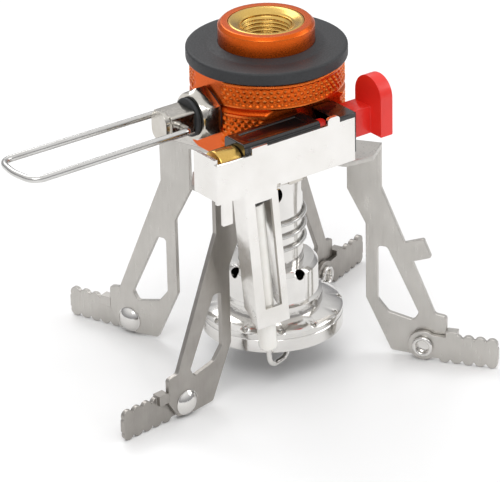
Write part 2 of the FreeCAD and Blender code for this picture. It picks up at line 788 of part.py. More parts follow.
def arm_rod(azimuth, r, u, drop, v0, v1):
    return rod(r, place(azimuth, u, v0, level(drop)), place(azimuth, u, v1, level(drop)))


def soften(shape, azimuth, r, keep=lambda p: True):
    """Round the edges that run through the sheet."""
    left = arm_frame(azimuth)[1]
    edges = [e for e in shape.Edges
             if e.Curve.TypeId == "Part::GeomLine" and abs(e.tangentAt(e.FirstParameter).dot(left)) > 0.99
             and e.Length < 2 * arm_thickness and keep(e.CenterOfMass)]
    return shape.makeFillet(r, edges)


def make_arm(azimuth, plate_z, stud_tab):
    top_drop = rim_z - plate_z
    v0 = arm_offset - arm_thickness
    v1 = arm_offset
    outline = [
        (arm_in, top_drop), (arm_out, top_drop), (arm_out, shoulder_out), (diagonal_end_u, ear_top),
        (ear_u, ear_top + 0.4), (ear_u, ear_foot), (pivot_u + 2.6, pivot_drop + 2.6), (pivot_u - 2.0, foot_drop + 0.4),
        (foot_in, foot_drop), (leg_in, knee_foot), (leg_in, knee), (arm_in, shoulder_in)]
    arm = on_arm(azimuth, outline, v0, v1)
    arm = soften(arm, azimuth, 0.8, lambda p: p.z < level(shoulder_out - 1))
    slope = (diagonal_end_u - arm_out) / (ear_top - shoulder_out)
    outer_leg = 4.6
    slot_in = leg_in + leg_width
    slot_out_top = arm_out + slope * (slot_top - shoulder_out) - outer_leg
    slot_out_foot = arm_out + slope * (slot_foot - shoulder_out) - outer_leg
    slot = on_arm(azimuth, [
        (slot_in, slot_top), (max(slot_out_top, slot_in + 2.0), slot_top), (slot_out_foot, slot_foot - 2.0),
        (slot_out_foot - 1.2, slot_foot), (slot_in + 2.4, slot_foot - 1.4), (slot_in, slot_foot - 4.4)], v0, v1)
    slot = soften(slot, azimuth, 0.85)
    widened = slot.copy()
    widened.translate(place(azimuth, 0, 0.5, 0))
    narrow = slot.copy()
    narrow.translate(place(azimuth, 0, -0.5, 0))
    arm = arm.cut(widened).cut(narrow)
    if stud_tab:
        start_u = arm_out + slope * (stud_tab_drop - shoulder_out)
        end_u = arm_out + slope * (stud_tab_drop + stud_tab_length - shoulder_out)
        rise = stud_tab_reach * slope
        tab = on_arm(azimuth, [
            (start_u - 1.0, stud_tab_drop), (start_u + stud_tab_reach, stud_tab_drop - rise),
            (end_u + stud_tab_reach, stud_tab_drop + stud_tab_length - rise), (end_u - 1.0, stud_tab_drop + stud_tab_length)],
            v0, v1)
        arm = arm.fuse(soften(tab, azimuth, 0.5, lambda p: True))
    return arm.cut(arm_rod(azimuth, rivet_r, pivot_u, pivot_drop, v0 - 1, v1 + 1))


def make_support(middle, plate_z, stud_tab_on):
    """One sheet bracket: a ring on the stem, two radial limbs, and an arm bent down from each limb's left side."""
    foot_z = plate_z - support_thickness
    hub = post(hub_ring_r, plate_z, foot_z)
    pieces = []
    for side in (1, -1):
        azimuth = middle + side * arm_spread / 2
        limb = Part.Face(Part.makePolygon([
            place(azimuth, 0, -tab_edge, foot_z), place(azimuth, arm_out - 4.6, -tab_edge, foot_z),
            place(azimuth, arm_out, 0.6, foot_z), place(azimuth, arm_out, arm_offset, foot_z),
            place(azimuth, arm_in - 1.5, arm_offset, foot_z), place(azimuth, 0, arm_offset, foot_z),
            place(azimuth, 0, -tab_edge, foot_z)])).extrude(Vector(0, 0, support_thickness))
        pieces.append(limb)
        pieces.append(make_arm(azimuth, plate_z, side == stud_tab_on))
    support = hub.fuse(pieces)
    support = support.cut(post(stem_r + running_gap, plate_z + 1, foot_z - 1))
    return one(support)


blade_v1 = arm_offset - arm_thickness - side_gap
blade_v0 = blade_v1 - blade_thickness


def make_blade(azimuth):
    """Flat serrated blade on the arm's inner side, level, with a tab bent across the arm's ear as its stop."""
    end_u = pivot_u + blade_reach
    strip = on_arm(azimuth, [
        (pivot_u, pivot_drop - blade_half_height), (end_u - blade_end_r, pivot_drop - blade_half_height),
        (end_u, pivot_drop - blade_half_height + blade_end_r), (end_u, pivot_drop + blade_half_height - blade_end_r),
        (end_u - blade_end_r, pivot_drop + blade_half_height), (pivot_u, pivot_drop + blade_half_height)],
        blade_v0, blade_v1)
    blade = strip.fuse(arm_rod(azimuth, blade_root_r, pivot_u, pivot_drop, blade_v0, blade_v1))
    lobes = []
    for k in range(lobe_count):
        u = end_u - lobe_r - 0.15 - lobe_pitch * k
        for side in (-1, 1):
            if side < 0 and k == lobe_count - 1:
                continue
            drop = pivot_drop + side * (blade_half_height - 0.55)
            lobes.append(arm_rod(azimuth, lobe_r, u, drop, blade_v0, blade_v1))
    blade = blade.fuse(lobes)
    tab_u = ear_u + touch_gap
    tab_drop = pivot_drop - blade_half_height
    tab = on_arm(azimuth, [
        (tab_u, tab_drop - stop_tab_height + 0.2), (tab_u + stop_tab_width, tab_drop - stop_tab_height + 0.2),
        (tab_u + stop_tab_width, tab_drop + 1.0), (tab_u, tab_drop + 1.0)], blade_v0, arm_offset)
    blade = blade.fuse(tab)
    return one(blade.cut(arm_rod(azimuth, rivet_r + running_gap, pivot_u, pivot_drop, blade_v0 - 1, blade_v1 + 1)))


def make_rivet(azimuth):
    """Domed head on the arm's outer face, shank through arm and blade, flared hollow end on the blade's side."""
    head_v = arm_offset + touch_gap / 2
    tail_v = blade_v0 - side_gap
    shank = arm_rod(azimuth, rivet_r, pivot_u, pivot_drop, tail_v - flare_height, head_v)
    sphere_r = (dome_r ** 2 + dome_height ** 2) / (2 * dome_height)
    ball = Part.makeSphere(sphere_r, place(azimuth, pivot_u, head_v + dome_height - sphere_r, level(pivot_drop)))
    dome = ball.common(arm_rod(azimuth, dome_r, pivot_u, pivot_drop, head_v, head_v + dome_height + 1))
    left = arm_frame(azimuth)[1]
    flare = Part.makeCone(flare_r, rivet_r, flare_height,
                          place(azimuth, pivot_u, tail_v - flare_height, level(pivot_drop)), left)
    flare = Part.makeCylinder(flare_r, flare_height * 0.6,
                              place(azimuth, pivot_u, tail_v - flare_height * 0.6, level(pivot_drop)), left).fuse(flare)
    rivet = shank.fuse([dome, flare])
    hollow = arm_rod(azimuth, flare_hollow_r, pivot_u, pivot_drop, tail_v - flare_height - 1, blade_v0 + 0.6)
    return one(rivet.cut(hollow))


# ---------------------------------------------------------------- build
def main():
    os.makedirs("parts", exist_ok=True)
    out("valve_body", make_valve_body())
    out("thread_insert", make_thread_insert())
    out("rubber_ring", make_rubber_ring())
    out("socket_seal", make_socket_seal())
    out("opening_pin", make_opening_pin())
    out("inlet_filter", make_inlet_filter())
    out("neck_stem", make_neck_stem())
    out("jet", make_jet())
    out("nut_seal", make_nut_seal())
    out("packing_nut", make_packing_nut())
    out("packing_ring", make_packing_ring())
    out("spindle", make_spindle())
    out("spindle_seal", make_spindle_seal())
    out("handle_block", make_handle_block())
    out("wire_handle", make_wire_handle())
    out("igniter_bracket", make_igniter_bracket())
    out("igniter_housing", make_igniter_housing())
    out("end_frame", make_end_frame())
    out("ferrule", make_ferrule())
    out("piezo_crystal", make_piezo_crystal())
    out("hammer", make_hammer())
    out("push_button", make_push_button())
    out("return_spring", *make_return_spring())
    out("ignition_lead", make_ignition_lead())
    out("ceramic_holder", make_ceramic_holder())
    out("ceramic_tube", make_ceramic_tube())
    out("electrode_wire", make_electrode_wire())
    out("spacer_washer", make_spacer())
    out("wave_washer", make_wave_washer())
    out("hub_nut", make_hub_nut())
    out("mixing_tube", make_mixing_tube())
    out("tube_coil", *make_tube_coil())
    out("burner_cup", make_burner_cup())
    out("burner_flange", make_burner_flange())
    out("burner_gauze", make_burner_gauze())
    out("burner_face", make_burner_face())
    out("support_bracket_a", make_support(bracket_a_turn, bracket_a_z, -1))
    out("support_bracket_b", make_support(bracket_b_turn, bracket_b_z, 0))
    half = arm_spread / 2
    arms = {
        "left": bracket_a_turn + half,
        "right": bracket_a_turn - half,
        "front": bracket_b_turn + half,
        "back": bracket_b_turn - half,
    }
    for side, azimuth in arms.items():
        out("blade_" + side, make_blade(azimuth))
        out("rivet_" + side, make_rivet(azimuth))


main()
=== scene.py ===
"""Looks of a canister stove: knurled orange body, wire handle, piezo igniter and folding pot supports.

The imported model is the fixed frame. Round pieces that are seen close up are surfaces worked out here, in
millimetres, and sheet pieces are copies of the CAD nodes with their edges rounded. The scene is in metres, with
+Z out of the canister thread.
"""
import json
import math

import bmesh
import bpy
import numpy as np
from bpy.props import FloatProperty, FloatVectorProperty, IntProperty, PointerProperty
from mathutils import Matrix, Vector


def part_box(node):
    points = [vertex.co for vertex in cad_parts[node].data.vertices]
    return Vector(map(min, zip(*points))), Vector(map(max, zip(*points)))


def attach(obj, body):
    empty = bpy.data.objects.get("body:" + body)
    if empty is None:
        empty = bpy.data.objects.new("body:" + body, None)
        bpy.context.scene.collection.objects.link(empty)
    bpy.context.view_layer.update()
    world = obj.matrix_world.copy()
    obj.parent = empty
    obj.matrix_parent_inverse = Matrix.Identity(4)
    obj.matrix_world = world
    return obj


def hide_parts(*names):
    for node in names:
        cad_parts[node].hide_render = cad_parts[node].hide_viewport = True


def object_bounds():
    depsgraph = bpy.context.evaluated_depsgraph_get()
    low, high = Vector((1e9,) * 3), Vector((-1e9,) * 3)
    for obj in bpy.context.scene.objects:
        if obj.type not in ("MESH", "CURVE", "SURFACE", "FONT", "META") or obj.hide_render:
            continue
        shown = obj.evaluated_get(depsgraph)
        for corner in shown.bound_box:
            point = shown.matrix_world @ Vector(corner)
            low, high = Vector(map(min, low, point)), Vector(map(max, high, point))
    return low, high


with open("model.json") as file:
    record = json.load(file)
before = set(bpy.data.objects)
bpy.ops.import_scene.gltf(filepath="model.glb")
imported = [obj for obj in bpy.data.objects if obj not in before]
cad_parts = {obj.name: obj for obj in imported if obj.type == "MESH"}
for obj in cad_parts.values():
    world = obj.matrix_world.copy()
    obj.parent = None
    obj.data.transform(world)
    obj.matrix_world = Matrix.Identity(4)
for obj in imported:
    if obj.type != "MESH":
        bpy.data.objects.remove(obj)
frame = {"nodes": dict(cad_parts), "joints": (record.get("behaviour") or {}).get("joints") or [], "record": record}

bl_info = {
    "name": "Canister stove",
    "version": (1, 0, 0),
    "blender": (4, 5, 0),
    "location": "3D View > Sidebar > Stove",
    "description": "Builds the visible pieces and finishes of a canister stove round its packed CAD model",
    "category": "Add Mesh",
}

CAD_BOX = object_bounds()
MM = 0.001
TURN = 2 * math.pi
NODES = frame["nodes"]
VALVE_Z = (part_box("spindle")[0].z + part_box("spindle")[1].z) / 2

# radii of the body in millimetres: its nose, which the ring and the thread share, and its knurled bands
NOSE_R, BODY_R = 10.45, 16.8
# the most triangles that one piece may have
TRIANGLE_BUDGET = 198000
# an edge sharper than this is rounded on a copy of a CAD node, and shaded hard where it is left
EASED_DEG = 40

# the Mix node has inputs and an output for each data type, and these are the places of its colour ones
MIX_A, MIX_B, MIX_OUT = 6, 7, 2
# noise seldom leaves this range, so it is stretched from here to its full swing
NOISE_LOW, NOISE_HIGH = 0.3, 0.7
# how pointed an edge is where its rubbing begins, and where it is complete
RUB_START, RUB_FULL = 0.52, 0.6
LEAST_ROUGHNESS = 0.02


# the finishes made so far, by name
FINISHES = {}


# ------------------------------------------------------------------ colours and nodes
def linear(code):
    """sRGB hex colour to linear: each channel c is c/12.92 below 0.04045, else ((c+0.055)/1.055)^2.4."""
    channels = [int(code[i:i + 2], 16) / 255 for i in (1, 3, 5)]
    return tuple(c / 12.92 if c <= 0.04045 else ((c + 0.055) / 1.055) ** 2.4 for c in channels)


def add(tree, kind, links=None, **settings):
    """One node: settings are its attributes, links its inputs, each a value or another node's (node, output).

    Inputs and outputs are given by name, or by place where a node has several of one name.
    """
    node = tree.nodes.new(kind)
    for key, value in settings.items():
        setattr(node, key, value)
    for key, value in (links or {}).items():
        if isinstance(value, tuple) and len(value) == 2 and isinstance(value[0], bpy.types.Node):
            tree.links.new(value[0].outputs[value[1]], node.inputs[key])
        else:
            node.inputs[key].default_value = value
    return node


def rgba(colour):
    """The colour with full opacity, as a colour input wants it."""
    return (*colour[:3], 1.0)


def finish(name, colour, metallic, rough, second=None, patch_mm=6.0, grain_mm=0.4, stretch=(1, 1, 1),
           grain=0.0, rough_swing=0.06, wear=None, **shader):
    """A principled surface: two tones mixed by broad noise, roughness that drifts, and a fine grain as bump.

    patch_mm is the size of the broad patches, grain_mm the grain's width and grain its height in millimetres.
    stretch draws the grain out along an axis, wear is a lighter colour where edges have been rubbed, and shader
    holds further inputs of the principled shader.
    """
    second_share = 0.5      # the second tone never covers more than this
    mat = bpy.data.materials.new(name)
    mat.use_nodes = True
    tree = mat.node_tree
    tree.nodes.clear()
    place = add(tree, "ShaderNodeTexCoord")
    broad = add(tree, "ShaderNodeTexNoise", {"Vector": (place, "Object"), "Scale": 1 / (patch_mm * MM),
                                             "Detail": 4.0})
    drawn = add(tree, "ShaderNodeMapping", {"Vector": (place, "Object"), "Scale": stretch})
    fine = add(tree, "ShaderNodeTexNoise", {"Vector": (drawn, "Vector"), "Scale": 1 / (grain_mm * MM),
                                            "Detail": 3.0})
    share = add(tree, "ShaderNodeMapRange", {"Value": (broad, "Fac"), "From Min": NOISE_LOW,
                                             "From Max": NOISE_HIGH, "To Min": 0.0, "To Max": second_share})
    tone = add(tree, "ShaderNodeMix", {"Factor": (share, "Result"), MIX_A: rgba(colour),
                                       MIX_B: rgba(second or colour)}, data_type="RGBA")
    if wear:
        edge = add(tree, "ShaderNodeNewGeometry")
        rub = add(tree, "ShaderNodeMapRange", {"Value": (edge, "Pointiness"), "From Min": RUB_START,
                                               "From Max": RUB_FULL})
        tone = add(tree, "ShaderNodeMix", {"Factor": (rub, "Result"), MIX_A: (tone, MIX_OUT),
                                           MIX_B: rgba(wear)}, data_type="RGBA")
    drift = add(tree, "ShaderNodeMapRange", {"Value": (fine, "Fac"), "From Min": NOISE_LOW,
                                             "From Max": NOISE_HIGH, "To Max": rough + rough_swing,
                                             "To Min": max(rough - rough_swing, LEAST_ROUGHNESS)})
    body = add(tree, "ShaderNodeBsdfPrincipled", {"Base Color": (tone, MIX_OUT), "Metallic": metallic,
                                                  "Roughness": (drift, "Result"), **shader})
    if grain:
        bump = add(tree, "ShaderNodeBump", {"Height": (fine, "Fac"), "Strength": 1.0, "Distance": grain * MM})
        tree.links.new(bump.outputs["Normal"], body.inputs["Normal"])
    add(tree, "ShaderNodeOutputMaterial", {"Surface": (body, "BSDF")})
    FINISHES[name] = mat
    return mat


def make_finishes(c):
    """Every finish of the stove, each made once."""
    # aluminium, turned, knurled and anodised orange: a clear tinted oxide over bright metal, satin
    finish("anodised_orange", c.orange, 0.9, 0.3, second=linear("#C9520F"), patch_mm=9,
           grain_mm=0.25, grain=0.004, wear=linear("#F5A55A"))
    # brass bar, turned: yellow metal with fine turning lines round the axis
    finish("turned_brass", c.brass, 1.0, 0.24, second=linear("#C49A4A"), patch_mm=4,
           grain_mm=0.3, stretch=(1, 1, 6), grain=0.003)
    # nitrile rubber, moulded: dull, charcoal, with a faint bloom and a fine cast skin
    finish("moulded_rubber", c.rubber, 0.0, 0.58, second=linear("#303134"), patch_mm=5,
           grain_mm=0.35, grain=0.03, rough_swing=0.1)
    # nickel plate over brass: bright and slightly warm
    finish("nickel_plate", linear("#CFCBC4"), 1.0, 0.17, second=linear("#B8B2A6"), patch_mm=3,
           grain_mm=0.5, grain=0.002)
    # drawn wire, nickel plated: lines run along the wire, which lies along X
    finish("drawn_wire", linear("#D6D5D3"), 1.0, 0.2, second=linear("#B9B7B3"), patch_mm=7,
           grain_mm=0.3, stretch=(0.15, 1, 1), grain=0.004)
    # pressed sheet steel, bright nickel plated: near white with soft waves from the press
    finish("plated_sheet", linear("#EDEBE8"), 1.0, 0.22, second=linear("#DAD7D1"), patch_mm=8,
           grain_mm=2.5, grain=0.012)
    # stainless sheet, brushed up and down the arms
    finish("brushed_stainless", linear("#C6C3BE"), 1.0, 0.36, second=linear("#B4B1AC"), patch_mm=7,
           grain_mm=0.45, stretch=(1, 1, 0.1), grain=0.012, rough_swing=0.1)
    # the same sheet in darker colours, as painted shade and painted reflection of the dark room, for the second
    # bracket and its blades
    finish("shaded_stainless", linear("#A9A5A0"), 1.0, 0.38, second=linear("#8F8B86"), patch_mm=6,
           grain_mm=0.45, stretch=(1, 1, 0.1), grain=0.012, rough_swing=0.1)
    # stainless tube and pressings, polished: mirror-like with faint drawing marks round the axis
    finish("polished_stainless", linear("#E2E0DD"), 1.0, 0.13, second=linear("#C9C7C3"), patch_mm=6,
           grain_mm=0.5, stretch=(1, 1, 5), grain=0.004)
    # ABS, moulded black and glossy
    finish("black_abs", c.black, 0.0, 0.16, second=linear("#1B1A1A"), patch_mm=5, grain_mm=1.2,
           grain=0.006, **{"IOR": 1.54, "Coat Weight": 0.3, "Coat Roughness": 0.08})
    # ABS, moulded red, satin
    finish("red_abs", c.red, 0.0, 0.34, second=linear("#D4251B"), patch_mm=6, grain_mm=0.3,
           grain=0.006, **{"IOR": 1.54, "Subsurface Weight": 0.05, "Subsurface Scale": 0.001})
    # alumina ceramic, glazed: white and smooth
    finish("glazed_alumina", linear("#F6F4EF"), 0.0, 0.22, second=linear("#E9E4DA"), patch_mm=4,
           grain_mm=0.5, grain=0.003, **{"IOR": 1.6, "Coat Weight": 0.4})
    # heat-proof steel mesh, woven and dull
    finish("steel_mesh", linear("#8E8C89"), 1.0, 0.45, second=linear("#6B6966"), patch_mm=2,
           grain_mm=0.5, grain=0.08)
    # piezo element, fired ceramic
    finish("piezo_body", linear("#BDB5A0"), 0.0, 0.6, grain_mm=0.3, grain=0.01)


# ------------------------------------------------------------------ surfaces
def grid_faces(rows, cols, close_rows):
    """Quads of a rows x cols grid of points, whose columns go round and join, and whose rows can too."""
    i = np.arange(rows if close_rows else rows - 1)[:, None]
    j = np.arange(cols)[None, :]
    a = i * cols + j
    b = i * cols + (j + 1) % cols
    c = ((i + 1) % rows) * cols + (j + 1) % cols
    d = ((i + 1) % rows) * cols + j
    return np.stack([a, b, c, d], -1).reshape(-1, 4)


def new_piece(name, points, faces, finish_name, body, stands_for, sharp_deg):
    """A mesh from arrays of points (mm) and quads, shaded smooth up to the given angle, riding on a body."""
    mesh = bpy.data.meshes.new(name)
    mesh.from_pydata((np.asarray(points, float).reshape(-1, 3) * MM).tolist(), [], faces.tolist())
    piece = bpy.data.objects.new(name, mesh)
    bpy.context.scene.collection.objects.link(piece)
    work = bmesh.new()
    work.from_mesh(mesh)
    bmesh.ops.remove_doubles(work, verts=work.verts, dist=1e-7)
    bmesh.ops.recalc_face_normals(work, faces=work.faces)
    work.to_mesh(mesh)
    work.free()
    settle(piece, finish_name, body, stands_for, sharp_deg)


def settle(piece, finish_name, body, stands_for, sharp_deg):
    """Finish, smooth shading, body and replaced CAD node of one piece."""
    piece.data.materials.clear()
    piece.data.materials.append(FINISHES[finish_name])
    piece.data.shade_smooth()
    piece.data.set_sharp_from_angle(angle=math.radians(sharp_deg))
    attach(piece, body)
    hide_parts(stands_for)


def body_of(node):
    """Moving body that the record puts a CAD node on."""
    return next(b for b, nodes in frame["record"]["behaviour"]["bodies"].items() if node in nodes)


def rounded_line(corners, radii, steps):
    """Points of a line whose corners are rounded: each bend starts and ends one set-back from its corner, and
    mixes start, corner and end by (1-t)^2, 2t(1-t) and t^2, which comes close to an arc of the given radius."""
    longest_back = 0.48     # of a side's length, so that two arcs on it never meet
    corners = np.asarray(corners, float)
    t = np.linspace(0, 1, steps)[:, None]
    runs = [corners[:1]]
    for i, radius in enumerate(radii):
        before = corners[i] - corners[i + 1]
        after = corners[i + 2] - corners[i + 1]
        before_length = np.linalg.norm(before)
        after_length = np.linalg.norm(after)
        half = np.arccos(np.clip(before @ after / before_length / after_length, -1, 1)) / 2
        back = min(radius / math.tan(half), longest_back * min(before_length, after_length))
        enter = corners[i + 1] + before / before_length * back
        leave = corners[i + 1] + after / after_length * back
        runs.append((1 - t) ** 2 * enter + 2 * t * (1 - t) * corners[i + 1] + t ** 2 * leave)
    runs.append(corners[-1:])
    return np.concatenate(runs)


def spun(profile, turns, wobble=None):
    """Closed surface of revolution: point (r, h) of a closed outline goes round the Z axis through angle a, to
    (r cos a, r sin a, h). wobble changes r for each (a, h)."""
    profile = np.asarray(profile, float)
    a = np.linspace(0, TURN, turns, endpoint=False)[None, :]
    r = profile[:, :1] + np.zeros_like(a)
    h = profile[:, 1:] + np.zeros_like(a)
    if wobble is not None:
        r = wobble(r, a, h)
    return np.stack([r * np.cos(a), r * np.sin(a), h], -1), grid_faces(len(profile), turns, True)


def divided(profile, longest):
    """The outline with extra points so that no step is longer than the given length."""
    profile = np.asarray(profile, float)
    out = []
    for start, end in zip(profile, np.roll(profile, -1, 0)):
        count = max(1, int(math.ceil(np.linalg.norm(end - start) / longest)))
        out.append(start + (end - start) * np.linspace(0, 1, count, endpoint=False)[:, None])
    return np.concatenate(out)


def tri(x):
    """Triangle wave: 0 at whole numbers, 1 half-way between."""
    return 1 - np.abs(2 * (x - np.floor(x)) - 1)


def bar(path, r, sides):
    """Round bar: at each path point a circle r (cos a, sin a) on two axes square to the path, the first of
    them level; both ends are closed by rings that shrink as a quarter round."""
    path = np.asarray(path, float)
    along = np.gradient(path, axis=0)
    along /= np.linalg.norm(along, axis=1, keepdims=True)
    side = np.cross(along, (0.0, 0.0, 1.0))
    side /= np.linalg.norm(side, axis=1, keepdims=True)
    up = np.cross(side, along)
    edge = min(0.25, r * 0.4)
    q = np.linspace(0, math.pi / 2, 4)
    swell = (r - edge) + edge * np.sin(q)
    set_in = edge * (1 - np.cos(q))
    between_ends = len(path) - 2
    radius = np.concatenate([[0.0], swell, np.full(between_ends, r), swell[::-1], [0.0]])
    shift = np.concatenate([[0.0], set_in, np.zeros(between_ends), -set_in[::-1], [0.0]])
    cap = len(q) + 1
    last = between_ends + 1
    pick = np.concatenate([np.zeros(cap, int), np.arange(1, last), np.full(cap, last)])
    a = np.linspace(0, TURN, sides, endpoint=False)
    ring = np.cos(a)[None, :, None] * side[pick][:, None] + np.sin(a)[None, :, None] * up[pick][:, None]
    centre = path[pick] + shift[:, None] * along[pick]
    return centre[:, None] + radius[:, None, None] * ring, grid_faces(len(pick), sides, False)


def eased(node, finish_name, width, segments=2):
    """A copy of a CAD node whose flat faces are joined up again and whose edges are rounded by a small bevel,
    width millimetres wide."""
    flat_deg = 0.6      # neighbours closer to one plane than this are one face
    mesh = NODES[node].data.copy()
    mesh.name = node + "_eased"
    piece = bpy.data.objects.new(mesh.name, mesh)
    bpy.context.scene.collection.objects.link(piece)
    work = bmesh.new()
    work.from_mesh(mesh)
    bmesh.ops.remove_doubles(work, verts=work.verts, dist=1e-6)
    bmesh.ops.dissolve_limit(work, angle_limit=math.radians(flat_deg), verts=work.verts, edges=work.edges)
    work.to_mesh(mesh)
    work.free()
    bevel = piece.modifiers.new("eased edges", "BEVEL")
    bevel.width = width * MM
    bevel.segments = segments
    bevel.limit_method = "ANGLE"
    bevel.angle_limit = math.radians(EASED_DEG)
    settle(piece, finish_name, body_of(node), node, EASED_DEG)


def repaint(node, finish_name):
    """A CAD node keeps its mesh and takes a finish."""
    mesh = NODES[node].data
    mesh.materials.clear()
    mesh.materials.append(FINISHES[finish_name])


# ------------------------------------------------------------------ sizes and colours
class StoveSettings(bpy.types.PropertyGroup):
    """Sizes and colours that someone would change."""
    orange: FloatVectorProperty(name="Body colour", description="Anodised colour of the knurled body",
                                subtype="COLOR", default=linear("#DE6018"), min=0, max=1)
    brass: FloatVectorProperty(name="Brass", description="Colour of the turned brass pieces",
                               subtype="COLOR", default=linear("#E0BC6C"), min=0, max=1)
    rubber: FloatVectorProperty(name="Rubber", description="Colour of the ring and seals",
                                subtype="COLOR", default=linear("#27282A"), min=0, max=1)
    black: FloatVectorProperty(name="Igniter black", description="Colour of the igniter housing",
                               subtype="COLOR", default=linear("#0C0B0B"), min=0, max=1)
    red: FloatVectorProperty(name="Button red", description="Colour of the push button",
                             subtype="COLOR", default=linear("#E52A20"), min=0, max=1)
    knurl_count: IntProperty(name="Knurl count", description="Diamonds round the body",
                             default=70, min=24, max=160)
    knurl_depth: FloatProperty(name="Knurl depth", description="Depth of the knurl in millimetres",
                               default=0.5, min=0.05, max=0.8)
    thread_pitch: FloatProperty(name="Thread pitch", description="Pitch of the canister thread in millimetres",
                                default=25.4 / 28, min=0.5, max=2.0)
    key_light: FloatProperty(name="Key light", description="Power of the main soft light in watts",
                             default=1.0, min=0.1, max=20)


# ------------------------------------------------------------------ pieces
class STOVE_OT_body(bpy.types.Operator):
    """Knurled body, threaded insert, rubber ring and what lies in the socket"""
    bl_idname = "stove.body"
    bl_label = "Body"

    def execute(self, context):
        self.knurled_body(context.scene.stove)
        self.threaded_insert(context.scene.stove)
        self.soft_ring()
        repaint("socket_seal", "moulded_rubber")
        for node in ("opening_pin", "neck_stem", "jet"):
            repaint(node, "turned_brass")
        repaint("inlet_filter", "steel_mesh")
        return {"FINISHED"}

    def knurled_body(self, s):
        """Turned body with a V groove between two knurled bands, and flats for the valve and the igniter."""
        low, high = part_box("valve_body")
        top, foot = high.z / MM, low.z / MM
        ring_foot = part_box("rubber_ring")[0].z / MM
        bore, nose_edge, edge = 8.3, 0.7, 0.5
        flat_x, flat_y, flat_top = 15.75, 13.1, foot + 12.0
        groove_top = ring_foot - 5.6
        groove_foot = groove_top - 1.8
        groove_middle, groove_depth = groove_top - 0.9, 1.15
        lip_depth, lip_height = 0.35, 0.12
        top_margin, groove_margin, knurl_foot = 0.9, 0.45, foot + 1.1
        climb = 1.3         # height of a diamond over its width
        crest = 1.25        # the tops of the diamonds are cut off at 1/1.25 of their height
        fade = 0.3          # the knurl runs out over this height at the ends of a band
        outline = divided([
            (bore, top), (NOSE_R - nose_edge, top), (NOSE_R, top - nose_edge), (NOSE_R, ring_foot + 0.05),
            (BODY_R - edge, ring_foot), (BODY_R, ring_foot - edge), (BODY_R, groove_top),
            (BODY_R - lip_depth, groove_top - lip_height), (BODY_R - groove_depth, groove_middle),
            (BODY_R - lip_depth, groove_foot + lip_height), (BODY_R, groove_foot),
            (BODY_R, foot + edge), (BODY_R - edge, foot), (bore, foot)], 0.21)

        def knurl(r, a, h):
            """Diamonds are the lower of two triangle waves that climb the body left and right. Each flat cuts r
            to its own distance over the cosine of the angle from its normal."""
            pitch = climb * TURN * BODY_R / s.knurl_count
            left = tri(a / TURN * s.knurl_count + h / pitch)
            right = tri(a / TURN * s.knurl_count - h / pitch)
            height = np.minimum(left, right)
            upper = (np.clip((ring_foot - top_margin - h) / fade, 0, 1)
                     * np.clip((h - groove_top - groove_margin) / fade, 0, 1))
            lower = (np.clip((groove_foot - groove_margin - h) / fade, 0, 1)
                     * np.clip((h - knurl_foot) / fade, 0, 1))
            band = (upper + lower) * (r > BODY_R - 0.05)
            r = r - s.knurl_depth * band * (1 - np.clip(height * crest, 0, 1))
            facing_valve = np.maximum(-np.cos(a), 1e-3)
            facing_igniter = np.maximum(-np.sin(a), 1e-3)
            r = np.where(h < ring_foot - 0.01, np.minimum(r, flat_x / facing_valve), r)
            return np.where(h < flat_top, np.minimum(r, flat_y / facing_igniter), r)

        turns = min(720, TRIANGLE_BUDGET // (2 * len(outline)))
        points, faces = spun(outline, turns, knurl)
        new_piece("knurled_body", points, faces, "anodised_orange", "stove_body", "valve_body", 50)

    def threaded_insert(self, s):
        """Brass insert: its bore carries the thread, and its top rolls outwards over the nose."""
        bore, length, outer = 5.1, 9.0, 8.25
        thread_depth, mouth_depth = 0.42, 0.55
        run_in, run_out = 0.25, 0.3     # the thread deepens and dies away over these heights
        wall = np.linspace(0.0, -length, 150)
        outline = np.concatenate([
            np.stack([np.full_like(wall, bore), wall], -1), [(bore, -length), (outer, -length)],
            [(outer, 0.82), (8.1, 0.96), (7.8, 1.0)],
            [(7.4, 0.93), (6.9, 0.72), (6.2, 0.42), (5.95, 0.28), (5.8, 0.05)]])

        def thread(r, a, h):
            """V thread: r grows by a triangle wave of h / pitch - a / turn, and fades in below the mouth."""
            wave = tri(h / s.thread_pitch - a / TURN)
            shown = np.clip(-h / run_in, 0, 1) * np.clip((length + h) / run_out, 0, 1)
            mouth = mouth_depth * np.clip((h + 0.9) / 0.5, 0, 1)
            groove = thread_depth * shown * np.clip(wave * 1.25 - 0.1, 0, 1)
            return np.where(r < bore + 0.1, r + np.maximum(groove, mouth), r)

        points, faces = spun(outline, 96, thread)
        new_piece("threaded_insert", points, faces, "turned_brass", "stove_body", "thread_insert", 50)

    def soft_ring(self):
        """Rubber ring with a raised collar round the nose, moulded with soft edges."""
        low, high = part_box("rubber_ring")
        foot, top = low.z / MM, high.z / MM
        inner, outer, collar, collar_rise = NOSE_R + 0.06, 17.5, 12.6, 0.7
        flat = top - collar_rise
        outline = divided(rounded_line([
            (inner, foot), (outer, foot), (outer, flat), (collar, flat), (inner, top), (inner, foot)],
            [0.5, 0.6, 1.6, 0.05], 7)[:-1], 0.9)
        points, faces = spun(outline, 160)
        new_piece("soft_ring", points, faces, "moulded_rubber", "stove_body", "rubber_ring", 60)


class STOVE_OT_valve(bpy.types.Operator):
    """Packing nut, seals, spindle and the handle's block"""
    bl_idname = "stove.valve"
    bl_label = "Valve"

    def execute(self, context):
        eased("packing_nut", "nickel_plate", 0.14)
        eased("handle_block", "nickel_plate", 0.14)
        repaint("spindle", "nickel_plate")
        for node in ("nut_seal", "packing_ring", "spindle_seal"):
            repaint(node, "moulded_rubber")
        return {"FINISHED"}


